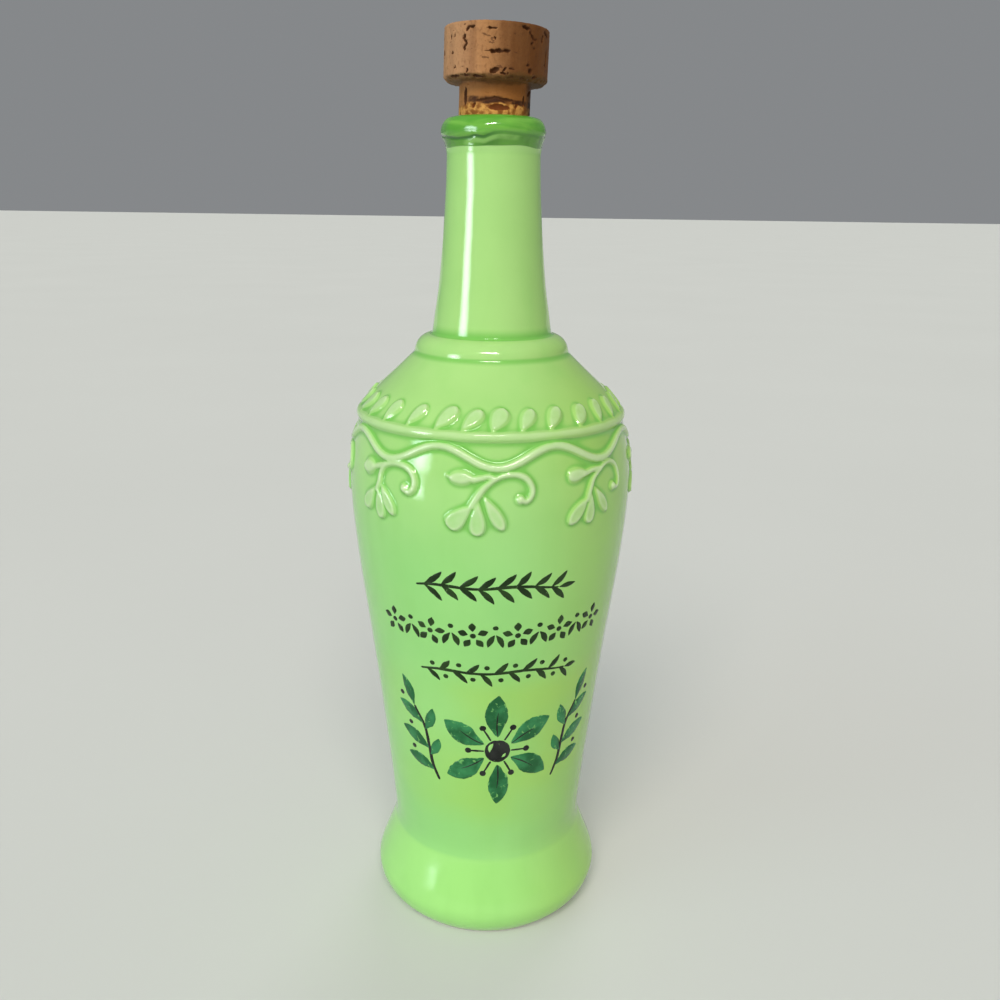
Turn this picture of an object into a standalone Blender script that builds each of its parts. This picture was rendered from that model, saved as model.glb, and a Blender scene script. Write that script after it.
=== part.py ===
"""Decorative oil bottle: glazed ceramic with a vine in relief round its shoulder, shut by a cork stopper.

Metres, +Z up. The origin is the centre of the foot's flat underside, and the front faces -Y.
Sizes are in millimetres until MM turns them into metres. A place on the wall is given by its arc,
measured to the right from the front along the widest circle, and its height above the table.
"""

import math

import bmesh
import bpy
from mathutils import Vector

MM = 0.001
GAP = 0.3

# Outline of the bottle, radius and height, from the mouth down to the foot
LIP_TOP = 266.1
LIP = [(12.2, LIP_TOP), (14.4, 265.4), (15.8, 263.2), (15.9, 261.0), (14.9, 258.6), (14.35, 255.5)]
NECK = [(14.35, 255.5), (14.65, 246.0), (15.5, 232.0), (16.9, 217.0), (18.3, 207.5), (18.9, 202.9)]
COLLAR_TOP = (19.2, 201.6)
COLLAR_BASE = (24.7, 196.2)
SHOULDER = [(25.3, 195.4), (31.0, 190.0), (37.2, 184.2), (42.0, 178.6)]
BEAD_HEIGHT = 176.9
BEAD_RADIUS = 43.7
BEAD_HALF = 1.6
BEAD_ANGLES = (60, 25, -10, -50)
BODY = [(43.0, 175.2), (45.3, 164.6), (46.2, 152.0), (44.4, 129.0), (39.5, 90.0), (35.1, 50.0), (33.2, 29.5)]
FOOT = [(33.2, 29.5), (34.4, 21.5), (37.4, 14.0), (39.3, 9.0), (38.2, 4.6), (34.8, 0.0)]
TURNED_STEPS = 40
MOUTH_EDGE = 0.7

# Mouth socket and cork stopper. The stopper's heights are from the mouth, where it leans a little to the right
SHANK_RADIUS = 10.7
SHANK_TAPER = 0.7
SHANK_DEPTH = 18.0
STOPPER_LEAN = math.radians(1.5)
HEAD_RADIUS = 15.5
HEAD_BASE = 9.1
HEAD_TOP = 24.3
HEAD_EDGE = 1.2
HEAD_TOP_EDGE = 0.5
CORK_STEPS = 32

# Relief. A leaf is the arc and height of its base, those of its tip, and its width
ARC_RADIUS = 46.0
WAVES = 8
WAVE_LENGTH = 2 * math.pi * ARC_RADIUS / WAVES
VINE_LOW = (2.2, 168.3)
VINE_HIGH = 174.1
VINE_RADIUS = 1.1
VINE_STEPS = 8
SCROLL = [(-5.6, 157.6), (-1.5, 163.1), (4.4, 166.5), (10.8, 165.2), (12.2, 160.6), (8.8, 159.2)]
SCROLL_RADIUS = 0.85
BUD_STEM = [(-5.6, 164.8), (-1.8, 165.9), (2.4, 165.9)]
CURL_END_RADIUS = 1.3
BUD = ((-4.5, 165.2), (-12.5, 165.3), 4.5)
LEAVES = [((-4.4, 158.5), (-12.0, 150.9), 5.0),
          ((-3.5, 159.9), (-3.8, 148.6), 4.7),
          ((-2.3, 160.8), (3.9, 150.5), 3.8)]
LEAF_HEIGHT = 1.05
LEAF_TAPER = 0.45
PETAL_TRIALS = 16
SHOULDER_LEAF = ((0.0, 178.5), (6.0, 184.5), 4.4)
SHOULDER_LEAF_HEIGHT = 0.85
FRONT_LEAF_ARCS = [-50.5, -40.5, -29.5, -18.5, -9.5, 0.5, 10.5, 20.5, 30.5, 41.0, 50.0]
REAR_LEAVES = 18

# Looks
GLAZE_COLOUR = (0.36, 0.74, 0.20, 1)
GLAZE_ROUGHNESS = 0.12
CORK_COLOUR = (0.46, 0.24, 0.10, 1)
CORK_ROUGHNESS = 0.8
CREASE_ANGLE = math.radians(40)


def smooth_line(stations, steps):
    """Points of a Catmull-Rom curve through the stations, with both ends."""
    points = [Vector(station) for station in stations]
    points = [2 * points[0] - points[1], *points, 2 * points[-1] - points[-2]]
    line = []
    for a, b, c, d in zip(points, points[1:], points[2:], points[3:]):
        for step in range(steps):
            t = step / steps
            line.append(0.5 * (2 * b + t * (c - a) + t * t * (2 * a - 5 * b + 4 * c - d)
                               + t * t * t * (3 * b - a - 3 * c + d)))
    return line + [points[-2]]


def quarter_round(top, base, steps):
    """Points of a quarter of an ellipse, from level at the top to upright at the base."""
    angles = [math.pi / 2 * step / steps for step in range(steps + 1)]
    return [Vector((top[0] + (base[0] - top[0]) * math.sin(a), base[1] + (top[1] - base[1]) * math.cos(a)))
            for a in angles]


def bead_outline():
    """Points of the half-round bead, whose ends lie on the wall."""
    depth = BEAD_RADIUS - 0.5 * (SHOULDER[-1][0] + BODY[0][0])
    middle = BEAD_RADIUS - depth
    return [Vector((middle + depth * math.cos(a), BEAD_HEIGHT + BEAD_HALF * math.sin(a)))
            for a in map(math.radians, BEAD_ANGLES)]


def outer_outline():
    """The bottle's outer side from the lip to the foot."""
    return [*smooth_line(LIP, 2)[:-1], *smooth_line(NECK, 1), *quarter_round(COLLAR_TOP, COLLAR_BASE, 4),
            *smooth_line(SHOULDER, 1), *bead_outline(), *smooth_line(BODY, 2)[:-1], *smooth_line(FOOT, 2)]


def turned(name, outline, steps):
    """A solid of revolution from (radius, height) points that run down its outer side."""
    mesh = bpy.data.meshes.new(name)
    edges = [(i, i + 1) for i in range(len(outline) - 1)]
    mesh.from_pydata([(radius * MM, 0, height * MM) for radius, height in outline], edges, [])
    body = bpy.data.objects.new(name, mesh)
    screw = body.modifiers.new("turn", "SCREW")
    screw.axis = "Z"
    screw.steps = steps
    screw.render_steps = steps
    screw.use_merge_vertices = True
    screw.merge_threshold = 0.00001
    return body


def wall_radius(height):
    """The wall's radius at a height, read along the plain wall between the collar and the foot."""
    wall = [*smooth_line(SHOULDER, 1), *smooth_line(BODY, 4)]
    for upper, lower in zip(wall, wall[1:]):
        if lower[1] <= height <= upper[1]:
            share = (height - lower[1]) / (upper[1] - lower[1])
            return lower[0] + share * (upper[0] - lower[0])
    return wall[-1][0]


def on_wall(arc, height):
    """The point of the wall at an arc and height."""
    turn = arc / ARC_RADIUS
    radius = wall_radius(height)
    return Vector((radius * math.sin(turn), -radius * math.cos(turn), height)) * MM


def wall_normal(arc, height):
    """The unit vector that points straight out of the wall."""
    turn = arc / ARC_RADIUS
    right = Vector((math.cos(turn), math.sin(turn), 0))
    up = on_wall(arc, height + 0.5) - on_wall(arc, height - 0.5)
    return right.cross(up).normalized()


def tube(name, points, radius, closed=False):
    """A round wire through the points, as a closed mesh."""
    curve = bpy.data.curves.new(name, "CURVE")
    curve.dimensions = "3D"
    curve.bevel_depth = radius * MM
    curve.bevel_resolution = 1
    curve.use_fill_caps = not closed
    spline = curve.splines.new("POLY")
    spline.points.add(len(points) - 1)
    for spot, point in zip(spline.points, points):
        spot.co = (*point, 1)
    spline.use_cyclic_u = closed
    wire = bpy.data.objects.new(name + "_curve", curve)
    bpy.context.scene.collection.objects.link(wire)
    mesh = bpy.data.meshes.new_from_object(wire.evaluated_get(bpy.context.evaluated_depsgraph_get()))
    body = bpy.data.objects.new(name, mesh)
    body.matrix_world = wire.matrix_world
    bpy.data.objects.remove(wire)
    cage = bmesh.new()
    cage.from_mesh(mesh)
    bmesh.ops.remove_doubles(cage, verts=cage.verts, dist=0.00001)
    bmesh.ops.recalc_face_normals(cage, faces=cage.faces)
    cage.to_mesh(mesh)
    cage.free()
    return body


def petal(name, base, tip, width, height, narrow):
    """A rounded leaf or bud lying on the wall from its base to its tip; narrow is how much the base tapers."""
    middle = (0.5 * (base[0] + tip[0]), 0.5 * (base[1] + tip[1]))
    along = on_wall(*tip) - on_wall(*base)
    length_axis = along.normalized()
    side_axis = wall_normal(*middle).cross(length_axis).normalized()
    cage = bmesh.new()
    bmesh.ops.create_uvsphere(cage, u_segments=6, v_segments=5, radius=1)
    angles = [math.pi / 2 * step / PETAL_TRIALS for step in range(PETAL_TRIALS)]
    fullest = max(math.cos(a) * (1 + narrow * math.sin(a)) for a in angles)
    for vertex in cage.verts:
        across, lift, share = vertex.co
        taper = (1 + narrow * share) / fullest
        vertex.co = (length_axis * share * along.length / 2
                     + side_axis * across * taper * width / 2 * MM
                     + length_axis.cross(side_axis) * lift * taper * height * MM)
    bmesh.ops.translate(cage, verts=cage.verts, vec=on_wall(*middle))
    bmesh.ops.recalc_face_normals(cage, faces=cage.faces)
    mesh = bpy.data.meshes.new(name)
    cage.to_mesh(mesh)
    cage.free()
    return bpy.data.objects.new(name, mesh)


def ball(name, arc, height, radius):
    """The round end of a curl."""
    cage = bmesh.new()
    bmesh.ops.create_uvsphere(cage, u_segments=6, v_segments=4, radius=radius * MM)
    bmesh.ops.translate(cage, verts=cage.verts, vec=on_wall(arc, height))
    mesh = bpy.data.meshes.new(name)
    cage.to_mesh(mesh)
    cage.free()
    return bpy.data.objects.new(name, mesh)


def vine():
    """The wavy stem that runs right round under the bead."""
    low_arc, low_height = VINE_LOW
    half_rise = (VINE_HIGH - low_height) / 2
    points = []
    for step in range(WAVES * VINE_STEPS):
        phase = 2 * math.pi * step / VINE_STEPS
        arc = low_arc + WAVE_LENGTH * step / VINE_STEPS
        points.append(on_wall(arc, low_height + half_rise * (1 - math.cos(phase))))
    return tube("vine", points, VINE_RADIUS, closed=True)


def pendant(number):
    """One hanging sprig: a stem that scrolls into a curl, a bud and three leaves."""
    shift = number * WAVE_LENGTH

    def place(spot):
        return spot[0] + shift, spot[1]

    scroll = [on_wall(*place(spot)) for spot in smooth_line(SCROLL, 2)]
    bud_stem = [on_wall(*place(spot)) for spot in smooth_line(BUD_STEM, 2)]
    pieces = [tube(f"scroll_{number}", scroll, SCROLL_RADIUS),
              tube(f"bud_stem_{number}", bud_stem, SCROLL_RADIUS),
              ball(f"curl_end_{number}", *place(SCROLL[-1]), CURL_END_RADIUS)]
    for index, (base, tip, width) in enumerate([BUD, *LEAVES]):
        pieces.append(petal(f"petal_{number}_{index}", place(base), place(tip), width, LEAF_HEIGHT, LEAF_TAPER))
    return pieces


def shoulder_leaf_arcs():
    """Where the shoulder leaves start: by eye across the front, and evenly round the back."""
    first = FRONT_LEAF_ARCS[-1]
    step = (2 * math.pi * ARC_RADIUS + FRONT_LEAF_ARCS[0] - first) / (REAR_LEAVES + 1)
    return FRONT_LEAF_ARCS + [first + step * number for number in range(1, REAR_LEAVES + 1)]


def shoulder_leaf(number, arc):
    """One of the leaning leaves that stand on the bead."""
    base, tip, width = SHOULDER_LEAF
    return petal(f"shoulder_leaf_{number}", (base[0] + arc, base[1]), (tip[0] + arc, tip[1]), width,
                 SHOULDER_LEAF_HEIGHT, LEAF_TAPER)


def fuse(body, pieces):
    """Joins the pieces to the body with one Boolean union, and removes them."""
    relief = bpy.data.collections.new("relief")
    bpy.context.scene.collection.children.link(relief)
    for piece in pieces:
        relief.objects.link(piece)
    union = body.modifiers.new("relief", "BOOLEAN")
    union.operation = "UNION"
    union.operand_type = "COLLECTION"
    union.collection = relief
    union.solver = "EXACT"
    mesh = bpy.data.meshes.new_from_object(body.evaluated_get(bpy.context.evaluated_depsgraph_get()))
    body.modifiers.clear()
    body.data = mesh
    for piece in pieces:
        bpy.data.objects.remove(piece)
    bpy.data.collections.remove(relief)


def material(name, colour, roughness):
    """A Principled material of one colour."""
    finish = bpy.data.materials.new(name)
    finish.use_nodes = True
    shader = finish.node_tree.nodes["Principled BSDF"]
    shader.inputs["Base Color"].default_value = colour
    shader.inputs["Roughness"].default_value = roughness
    shader.inputs["Metallic"].default_value = 0
    return finish


def finish_piece(body, finish):
    """Gives a piece its material and smooth shading that keeps sharp creases."""
    body.data.materials.clear()
    body.data.materials.append(finish)
    body.data.shade_smooth()
    body.data.set_sharp_from_angle(angle=CREASE_ANGLE)


def make_bottle(parts):
    """The ceramic bottle, with its relief and the socket that the stopper sits in."""
    socket_radius = SHANK_RADIUS + GAP
    socket_floor = LIP_TOP - SHANK_DEPTH - 2 * GAP
    socket = [(0, socket_floor), (socket_radius, socket_floor), (socket_radius, LIP_TOP - MOUTH_EDGE)]
    bottle = turned("bottle", [*socket, *outer_outline(), (0, 0)], TURNED_STEPS)
    parts.objects.link(bottle)
    pieces = [vine()]
    for number in range(WAVES):
        pieces += pendant(number)
    pieces += [shoulder_leaf(number, arc) for number, arc in enumerate(shoulder_leaf_arcs())]
    fuse(bottle, pieces)
    finish_piece(bottle, material("green_glaze", GLAZE_COLOUR, GLAZE_ROUGHNESS))


def make_stopper(parts):
    """The T-shaped cork: a wide head on a tapering shank that goes down into the mouth."""
    shank_end = SHANK_RADIUS - SHANK_TAPER
    outline = [(0, HEAD_TOP), *quarter_round((HEAD_RADIUS - HEAD_TOP_EDGE, HEAD_TOP),
                                             (HEAD_RADIUS, HEAD_TOP - HEAD_TOP_EDGE), 2),
               (HEAD_RADIUS, HEAD_BASE + HEAD_EDGE), (HEAD_RADIUS - HEAD_EDGE, HEAD_BASE),
               (SHANK_RADIUS, HEAD_BASE), (SHANK_RADIUS, 0), (shank_end, HEAD_EDGE - SHANK_DEPTH),
               (shank_end - HEAD_EDGE, -SHANK_DEPTH), (0, -SHANK_DEPTH)]
    stopper = turned("cork_stopper", outline, CORK_STEPS)
    stopper.location.z = LIP_TOP * MM
    stopper.rotation_euler.y = STOPPER_LEAN
    parts.objects.link(stopper)
    finish_piece(stopper, material("cork", CORK_COLOUR, CORK_ROUGHNESS))


def main():
    for old in list(bpy.data.objects):
        bpy.data.objects.remove(old)
    parts = bpy.data.collections.new("oil_bottle")
    bpy.context.scene.collection.children.link(parts)
    make_bottle(parts)
    make_stopper(parts)


main()
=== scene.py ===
"""Looks of a decorative oil bottle: lime glaze over a leafy vine in relief, brushed ornament, a cork stopper.

Lengths are in millimetres until MM turns them into metres. The materials and lights are in metres. A place on
the wall is an arc, measured to the right from the front along a circle of ARC_RADIUS, and a height above the
table.
"""
import math

import bpy
import numpy as np
from mathutils import Matrix, Vector
from mathutils.noise import noise_vector, seed_set


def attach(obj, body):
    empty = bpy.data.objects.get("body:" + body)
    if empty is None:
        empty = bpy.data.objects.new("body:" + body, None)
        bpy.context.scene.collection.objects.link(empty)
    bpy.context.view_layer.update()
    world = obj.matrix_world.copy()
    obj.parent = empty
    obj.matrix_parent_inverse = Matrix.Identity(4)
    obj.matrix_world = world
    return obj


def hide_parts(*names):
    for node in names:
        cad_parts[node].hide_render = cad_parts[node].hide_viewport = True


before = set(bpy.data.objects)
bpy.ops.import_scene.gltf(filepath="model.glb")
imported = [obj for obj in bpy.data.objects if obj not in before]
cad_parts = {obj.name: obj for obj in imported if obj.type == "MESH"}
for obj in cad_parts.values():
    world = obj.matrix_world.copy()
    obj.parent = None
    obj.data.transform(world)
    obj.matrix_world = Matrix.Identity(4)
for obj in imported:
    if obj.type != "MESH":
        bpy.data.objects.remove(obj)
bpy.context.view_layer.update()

MM = 0.001

# Outline of the bottle, radius and height, from the mouth down to the foot
LIP_TOP = 266.1
SOCKET_RADIUS = 11.0
SOCKET_FLOOR = 247.5
MOUTH = [(SOCKET_RADIUS, SOCKET_FLOOR), (SOCKET_RADIUS, 258.0), (SOCKET_RADIUS, 265.2), (12.2, LIP_TOP)]
LIP = [(12.2, LIP_TOP), (14.4, 265.4), (15.8, 263.2), (15.9, 261.0), (14.9, 258.6), (14.35, 255.5)]
NECK = [(14.35, 255.5), (14.65, 246.0), (15.5, 232.0), (16.9, 217.0), (18.3, 207.5), (18.9, 202.9)]
COLLAR_TOP = (19.2, 201.6)
COLLAR_BASE = (24.7, 196.2)
SHOULDER = [(25.3, 195.4), (31.0, 190.0), (37.2, 184.2), (42.0, 178.6)]
BEAD_HEIGHT = 176.9
BEAD_RADIUS = 43.7
BEAD_HALF = 1.6
# The bead's outline in degrees, from above to below
BEAD_TURN = (65, -55)
BEAD_POINTS = 16
WAIST = (33.1, 28.6)
BODY = [(43.0, 175.2), (45.3, 164.6), (46.2, 152.0), (44.4, 129.0), (39.5, 90.0), (35.1, 50.0), WAIST]
FOOT = [
    WAIST, (34.25, 25.2), (35.8, 21.1), (37.4, 17.0), (38.95, 13.0), (39.95, 8.9), (38.8, 4.3), (35.4, 0.0)]
CREASE_SOFTNESS = 0.35
# The wavy crease of the rolled lip: turns from the front in radians, and heights
LIP_CREASE = [
    (0.0, 260.65), (0.14, 260.95), (0.35, 260.75), (0.6, 260.55), (0.9, 260.2), (1.2, 260.4), (1.55, 260.9),
    (1.9, 260.5), (2.3, 260.8), (2.7, 261.3), (3.1, 260.9), (3.5, 260.5), (3.9, 261.0), (4.25, 260.7),
    (4.6, 260.9), (4.91, 260.35), (5.2, 259.75), (5.4, 259.35), (5.6, 259.3), (5.78, 259.45), (5.9, 259.9),
    (6.0, 259.8), (6.1, 259.7), (6.19, 260.2)]
LIP_FOLD_WIDTH = 0.42
# Lumps of the lip: how far out, how many round it, where they start, and their twist per millimetre of height
LIP_LUMPS = ((0.07, 3, 0.8, 0), (0.06, 5, 2.1, 0), (0.06, 9, 0, 0.35), (0.05, 14, 0, -0.8))

# Relief. A place is an arc and a height
ARC_RADIUS = 46.0
WAVES = 8
WAVE_LENGTH = 2 * math.pi * ARC_RADIUS / WAVES
VINE_LOW = (2.2, 168.3)
VINE_HIGH = 174.1
VINE_HALF = 1.25
VINE_SWELL = 0.08
VINE_SWELLS = 3
VINE_RISE = 1.05
STEM_RISE = 0.95
# How many half widths from its middle a stem's relief runs out
STEM_SKIRT = 1.3
CURL_END_HALF = 1.35
CURL_END_RISE = 1.15 * STEM_RISE
BUD_STEM_HALVES = (1.1, 0.85)
POINT_REACH = (1.3, 0.4)
POINT_HALVES = (0.45, 0.6)
POINT_RISE = 0.6
# Three sprigs, given one by one. A leaf is its base, its tip, its width, how its base tapers and how blunt
# its tip is
FRONT_SPRIG = {
    "scroll": [
        (-5.2, 157.6), (-3.4, 160.6), (-1.5, 163.1), (1.3, 165.2), (4.4, 166.4), (8.1, 166.5), (10.8, 165.2),
        (12.3, 162.7), (12.1, 160.4), (10.6, 158.8), (8.8, 159.3)],
    "halves": (1.2, 1.15, 1.05, 0.85, 0.85, 0.95, 1.0, 1.0, 0.95, 0.9, 0.9),
    "bud_stem": [(-4.9, 165.1), (-2.5, 165.6), (-0.4, 166.1), (1.6, 165.4)],
    "bud": ((-4.2, 165.4), (-12.4, 165.4), 4.9, 0.6, 0.5),
    "point": (-12.9, 165.9),
    "leaves": [
        ((-3.8, 158.8), (-12.1, 150.8), 5.7, 1.3, 0.36), ((-3.4, 160.2), (-3.7, 148.4), 5.0, 1.3, 0.5),
        ((-2.1, 160.8), (4.1, 150.2), 4.1, 1.1, 0.58)]}
RIGHT_SPRIG = {
    "scroll": [
        (-5.0, 157.1), (-3.6, 160.4), (-2.1, 163.0), (1.0, 165.2), (3.7, 166.5), (6.4, 166.7), (9.0, 165.4),
        (10.4, 163.2), (10.9, 160.5), (9.8, 158.3), (7.3, 158.8)],
    "halves": (1.2, 1.1, 1.0, 0.9, 0.9, 0.9, 0.85, 0.8, 0.75, 0.75, 0.9),
    "bud_stem": [(-6.2, 164.7), (-2.5, 165.5), (1.1, 165.5)],
    "bud": ((-4.2, 165.2), (-12.2, 164.6), 5.1, 0.7, 0.38),
    "point": (-11.0, 164.6),
    "leaves": [
        ((-4.4, 158.3), (-11.8, 150.2), 4.7, 1.1, 0.62), ((-3.2, 160.0), (-4.2, 149.6), 4.4, 1.2, 0.4),
        ((-2.4, 160.8), (4.1, 151.5), 3.7, 1.1, 0.66)]}
LEFT_SPRIG = {
    "scroll": [
        (-1.8, 158.2), (-0.9, 160.8), (-0.5, 163.6), (1.4, 166.1), (4.8, 167.2), (8.4, 167.1), (11.3, 165.8),
        (12.8, 163.4), (12.5, 160.9), (10.8, 159.5), (9.3, 160.5)],
    "halves": (1.2, 1.1, 1.0, 0.95, 1.0, 1.1, 1.15, 1.15, 1.1, 1.0, 0.95),
    "bud_stem": [(-4.4, 164.4), (-2.0, 165.3), (1.4, 166.4)],
    "bud": ((-2.6, 164.8), (-9.8, 163.8), 5.5, 0.6, 0.42),
    "point": (-8.8, 163.9),
    "leaves": [
        ((-2.0, 159.4), (-8.0, 151.6), 4.8, 1.2, 0.42), ((-1.3, 159.6), (0.2, 149.4), 4.6, 1.2, 0.55),
        ((-0.4, 160.6), (5.6, 151.4), 4.1, 1.1, 0.6)]}
# Which sprig hangs from each wave, from the front to the right
SPRIGS = (FRONT_SPRIG, RIGHT_SPRIG, LEFT_SPRIG, FRONT_SPRIG, RIGHT_SPRIG, LEFT_SPRIG, FRONT_SPRIG, LEFT_SPRIG)
SHOULDER_LEAF_HEIGHTS = (178.0, 184.0)
SHOULDER_LEAF_WIDTH = 5.1
SHOULDER_LEAF_SHAPE = (0.85, 0.45)
SHOULDER_LEAF_SWAY = 0.3
FRONT_SHOULDER_LEAVES = [
    (-50.5, -45.5), (-40.3, -35.8), (-29.2, -23.9), (-18.4, -12.0), (-9.4, -3.0), (0.3, 4.8), (9.6, 14.8),
    (19.2, 25.0), (30.6, 35.9), (41.2, 45.2), (50.3, 54.7)]
REAR_LEAVES = 18
REAR_LEAF_LEAN = 5.8
# How a leaf is modelled: its rise, how wide its rim is, and how deep its middle is sunk
BUD_FORM = (1.05, 1.7, 0.0)
LEAF_FORM = (0.95, 0.9, 0.16)
SHOULDER_LEAF_FORM = (0.85, 1.3, 0.0)
# How a leaf's middle line is rounded, in square millimetres, its soft margin, its dome, and where it sinks
LEAF_ROUNDING = 0.12
LEAF_MARGIN = 0.2
LEAF_DOME = 0.22
DISH_FROM_EDGE = (0.8, 2.0)
DISH_ALONG = (0.15, 0.5)
# Where the relief is worked out: how far to each side of its place, and between which heights
VINE_ZONE = (150, 165, 177.5)
SPRIG_ZONE = (17, 146, 170)
SHOULDER_ZONE = (10, 175, 188)

# How finely the bottle is cut: the columns of the relief zone, and those of the rest
FINE_COLUMNS = 640
COARSE_COLUMNS = 160
RELIEF_ZONE = (146.5, 188.5)
# How close the rows are along the outline, down to each height
ROW_STEPS = ((264.8, 0.5), (257.0, 0.3), (254.0, 0.7), (203.5, 3.0), (194.0, 0.45), (RELIEF_ZONE[1], 1.2),
             (RELIEF_ZONE[0], 0.45), (30.0, 4.0), (2.0, 1.0), (0.02, 0.4), (-1.0, 5.0))
CURVE_STEPS = 12
SPRIG_STEPS = 4
VINE_STEPS = 16
# How many passes spread the pools of glaze, and how far from the lip's crease heights are told apart
POOL_SPREAD = 14
CREASE_REACH = 4

# Cork stopper, heights from the mouth
SHANK_RADIUS = 10.7
SHANK_TAPER = 0.7
SHANK_DEPTH = 18.0
STOPPER_LEAN = math.radians(1.5)
HEAD_RADIUS = 15.5
HEAD_BASE = 9.1
HEAD_TOP = 24.3
HEAD_EDGE = 1.2
HEAD_TOP_EDGE = 0.5
CORK_COLUMNS = 400
CORK_ROW = 0.25
CORK_TOP_ROW = 0.34
CORK_HIDDEN_ROW = 2.0
CORK_SOFTNESS = 0.12
CORK_SEED = 11
STAIN_HEIGHT = 3.2
# A pit is its place round the cork, its height, its half sizes across and up, its tilt in degrees, its depth
HEAD_PITS = [
    (0.4, 16.25, 4.0, 0.26, 0, 0.4), (-0.9, 16.1, 1.0, 0.62, -10, 0.9), (0.6, 16.35, 1.1, 0.55, 0, 0.9),
    (3.0, 16.35, 1.1, 0.5, 0, 0.8), (-0.4, 11.2, 1.5, 0.75, 20, 0.9), (2.2, 10.5, 0.8, 0.4, -10, 0.7),
    (2.6, 11.5, 0.8, 0.32, 50, 0.7), (4.6, 11.7, 0.9, 0.28, 5, 0.4), (3.5, 10.5, 0.4, 0.3, 0, 0.4),
    (-9.9, 19.9, 0.85, 0.4, 60, 0.7), (-9.4, 18.8, 1.0, 0.34, -45, 0.6), (-9.3, 17.8, 0.9, 0.32, 45, 0.6),
    (-9.8, 16.9, 0.6, 0.5, -60, 0.7), (-8.7, 22.1, 0.9, 0.38, 40, 0.7), (-7.3, 22.5, 0.9, 0.42, 0, 0.8),
    (-1.9, 22.2, 0.8, 0.4, 0, 0.7), (-0.6, 22.1, 0.9, 0.26, 0, 0.4), (8.7, 22.9, 1.4, 0.45, -8, 0.9),
    (10.2, 21.6, 0.75, 0.38, -60, 0.6), (11.2, 20.6, 1.0, 0.42, -50, 0.7), (12.5, 20.2, 0.7, 0.3, 0, 0.4),
    (11.0, 18.9, 0.75, 0.42, 35, 0.6), (11.9, 17.8, 0.45, 0.38, 0, 0.5), (15.7, 20.8, 1.2, 0.4, 80, 0.7),
    (18.0, 22.3, 1.7, 0.5, -20, 0.9), (18.6, 16.0, 2.8, 0.4, 85, 0.6), (9.9, 13.1, 0.6, 0.4, 0, 0.5),
    (10.8, 11.7, 0.7, 0.75, 0, 0.9), (12.6, 10.3, 1.1, 0.38, 20, 0.5), (-15.6, 20.3, 0.8, 0.32, 85, 0.5),
    (-13.6, 20.7, 0.6, 0.28, 80, 0.4), (-14.7, 16.1, 0.42, 0.52, 0, 0.6), (-13.4, 12.2, 0.45, 0.45, 0, 0.5),
    (-8.6, 11.1, 0.7, 0.38, 80, 0.6), (-9.3, 9.9, 0.75, 0.4, 0, 0.6), (-0.6, 19.5, 0.6, 0.3, -60, 0.4),
    (-5.4, 9.5, 1.5, 0.38, -8, 0.6), (-14.0, 9.9, 2.2, 0.32, 0, 0.4)]
SHANK_PITS = [
    (-10.0, 4.8, 2.5, 0.8, 88, 0.7), (1.2, 1.95, 3.4, 0.8, 0, 0.3), (-3.0, 3.9, 3.0, 0.4, 6, 0.45),
    (3.2, 4.1, 2.8, 0.42, -4, 0.45), (9.8, 4.2, 1.6, 0.5, 80, 0.6), (-6.4, 2.4, 0.9, 0.5, 60, 0.4),
    (6.9, 2.6, 0.9, 0.45, 60, 0.4), (0.3, 4.5, 1.2, 0.3, 0, 0.4)]

# Brushed ornament, as arcs along a circle of PAINT_RADIUS
PAINT_RADIUS = 40.0
PAINT_LIFT = 0.07
PAINT_DEPTH = 0.15
PAINT_LAYER = 0.004
MARK_STEP = 0.4
SHORT_MARK = 12
# How deep a mark's edge is sunk in the glaze, and its least half width
HAIR = 0.02
# How far apart a brush shakes, and how much, for any mark and for each millimetre of half width
SHAKE_GAP = 1.5
SHAKE = (0.035, 0.02)
DOT_RADIUS = 0.85
TWIG_ARCH = 1.0
TWIG_WAVE = 0.45
TWIG_HALVES = (0.35, 0.55, 0.48, 0.55, 0.5, 0.3)
LEAF_MARK_HALVES = (0.12, 0.45, 0.85, 1.0, 0.9, 0.6, 0.1)
ROSETTE = np.array((3.5, 72.0))
ROSETTE_MIDDLE = 4.5
PETALS = 6
PETAL_START = 5.4
PETAL_LENGTH = 15.8
PETAL_HALF = 4.1
VEIN_LENGTH = 9.5
# How far from the rosette's middle a stamen starts, bends, ends, and has its dot
STAMEN_REACH = (4.6, 7.0, 9.6, 10.2)
# The right spray, from the rosette's middle. A leaf is its base, its angle, its length and its half width
SPRAY_STEM = ((21.5, -14.0), (24.0, -8.0), (25.0, -1.0), (26.2, 6.0), (30.0, 13.0))
SPRAY_LEAVES = ((23.2, -10.2, 16, 12.5, 2.5), (24.6, -4.6, 118, 8.0, 2.0), (24.9, -2.2, 24, 13.0, 2.6),
                (26.0, 4.8, 112, 9.5, 2.2), (26.6, 7.0, 30, 12.0, 2.4), (30.0, 13.0, 68, 11.0, 2.2))
SPRAY_BERRIES = ((32.0, -3.6), (32.4, 5.6), (35.2, 16.0))

# Panels seen in the glaze: place, width and height, watts, colour, and whether their edges fade
PANELS = (("window", (-0.765, -0.49, 0.33), (0.36, 0.38), 5.6, (0.84, 0.98, 1.0), True),
          ("sill", (-0.765, -0.49, 0.085), (0.24, 0.17), 1.7, (0.84, 0.98, 1.0), True),
          ("lamp", (-0.03, -0.70, 0.84), (0.40, 0.07), 3.8, (1.0, 0.98, 0.93), False))
LIT_MIDDLE = (0, 0, 0.14)
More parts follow.
